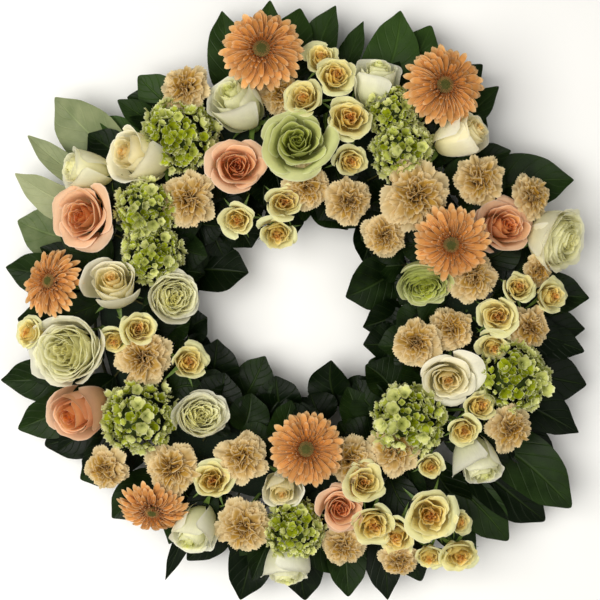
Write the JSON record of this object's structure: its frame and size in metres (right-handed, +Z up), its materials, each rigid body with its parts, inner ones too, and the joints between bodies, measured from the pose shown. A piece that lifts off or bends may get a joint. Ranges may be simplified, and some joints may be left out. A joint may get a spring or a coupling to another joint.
{
  "type": "memorial wreath",
  "caption": "Round memorial wreath of fresh roses, gerberas, carnations and snowball florets over dark leaves, set in a ring of wet floral foam on a plastic tray.",
  "frame": {"origin": "on the table, below the middle of the wreath's bounding box", "axes": "+Z up, out of the wreath's face; +Y towards the top of the wreath as it is displayed"},
  "size_m": [0.61, 0.621, 0.1273],
  "materials": {
    "gerbera": "matte",
    "rose_cream": "matte",
    "rose_white": "matte",
    "rose_green": "matte",
    "rose_peach": "matte",
    "spray_rose": "matte",
    "carnation": "matte",
    "snowball": "matte",
    "salal": "satin",
    "floral_foam": "matte",
    "tray": "satin"
  },
  "bodies": {
    "root": {"gerbera_top": "gerbera", "gerbera_top_right": "gerbera", "gerbera_right": "gerbera", "gerbera_bottom": "gerbera", "gerbera_left": "gerbera", "gerbera_bottom_left": "gerbera", "rose_green_top": "rose_green", "rose_white_top_left": "rose_white", "rose_peach_top_left": "rose_peach", "rose_white_top_right": "rose_white", "rose_cream_top_left": "rose_cream", "rose_green_top_left": "rose_green", "rose_peach_left": "rose_peach", "rose_cream_left": "rose_cream", "rose_green_inner_left": "rose_green", "rose_green_left": "rose_green", "rose_peach_bottom_left": "rose_peach", "rose_green_inner_bottom_left": "rose_green", "rose_white_bottom_left": "rose_white", "rose_cream_bottom": "rose_cream", "rose_peach_bottom": "rose_peach", "rose_white_bottom": "rose_white", "rose_white_bottom_right": "rose_white", "rose_cream_right": "rose_cream", "rose_cream_top_right": "rose_cream", "rose_peach_right": "rose_peach", "rose_green_right": "rose_green", "rose_green_inner_right": "rose_green", "spray_rose_top": "spray_rose", "spray_rose_inner_top": "spray_rose", "spray_rose_left": "spray_rose", "spray_rose_far_left": "spray_rose", "spray_rose_bottom_left": "spray_rose", "spray_rose_bottom": "spray_rose", "spray_rose_bottom_right": "spray_rose", "spray_rose_right": "spray_rose", "spray_rose_outer_right": "spray_rose", "carnation_top_left": "carnation", "carnation_inner_top": "carnation", "carnation_outer_right": "carnation", "carnation_right": "carnation", "carnation_left": "carnation", "carnation_bottom_left": "carnation", "carnation_bottom": "carnation", "snowball_top_left": "snowball", "snowball_left": "snowball", "snowball_top_right": "snowball", "snowball_bottom_left": "snowball", "snowball_bottom_right": "snowball", "snowball_right": "snowball", "snowball_bottom": "snowball", "salal_top_right": "salal", "salal_top_left": "salal", "salal_bottom_left": "salal", "salal_bottom": "salal", "salal_bottom_right": "salal", "salal_inner_right": "salal", "salal_inner_left": "salal", "floral_foam": "floral_foam", "tray": "tray"}
  },
  "joints": []
}
